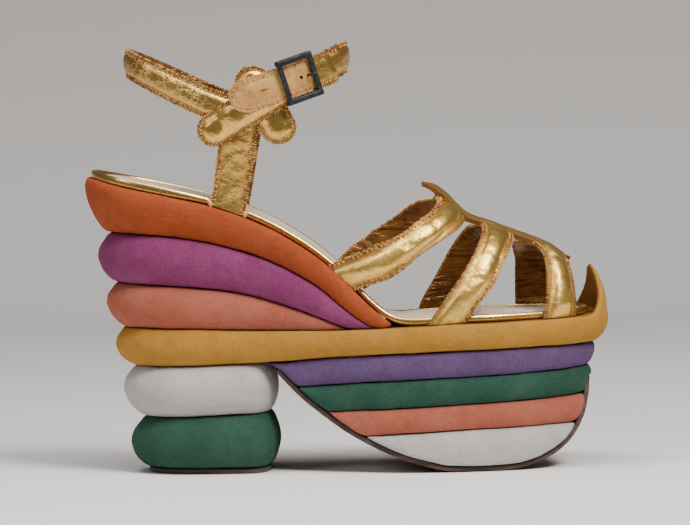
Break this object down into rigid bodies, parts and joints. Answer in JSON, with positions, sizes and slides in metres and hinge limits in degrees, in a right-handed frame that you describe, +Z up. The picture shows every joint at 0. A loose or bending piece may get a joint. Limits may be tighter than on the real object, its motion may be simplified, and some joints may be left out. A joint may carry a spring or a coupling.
{
  "type": "platform sandal",
  "caption": "Right platform sandal: a sole built of coloured suede layers, a pointed toe beak, a hollow open upper of joined straps and a buckled ankle strap.",
  "frame": {"origin": "middle of the heel top piece's under side, on the floor", "axes": "+X to the toe, +Y to the inner side of the foot, +Z up"},
  "size_m": [0.2403, 0.0899, 0.1965],
  "materials": {
    "suede_orange": "suede nap",
    "suede_magenta": "suede nap",
    "suede_salmon": "suede nap",
    "suede_yellow": "suede nap",
    "suede_violet": "suede nap",
    "suede_green": "suede nap",
    "suede_white": "suede nap",
    "sole_leather": "worn, dark",
    "insole_leather": "aged, matt",
    "gold_kid": "gold foil, creased",
    "tan_leather": "worn smooth",
    "dark_metal": "worn dark enamel"
  },
  "bodies": {
    "root": {"heel_top_piece": "sole_leather", "outsole": "sole_leather", "heel_layer_green": "suede_green", "heel_layer_white": "suede_white", "platform_layer_white": "suede_white", "platform_layer_salmon": "suede_salmon", "platform_layer_green": "suede_green", "platform_layer_violet": "suede_violet", "platform_layer_yellow": "suede_yellow", "wedge_layer_salmon": "suede_salmon", "wedge_layer_magenta": "suede_magenta", "wedge_layer_orange": "suede_orange", "insole": "insole_leather", "insole_binding": "gold_kid", "vamp_straps": "gold_kid", "ankle_strap": "gold_kid", "cross_band": "gold_kid", "chape_band": "gold_kid", "buckle_strap": "tan_leather", "buckle_frame": "dark_metal", "buckle_prong": "dark_metal"}
  },
  "joints": []
}
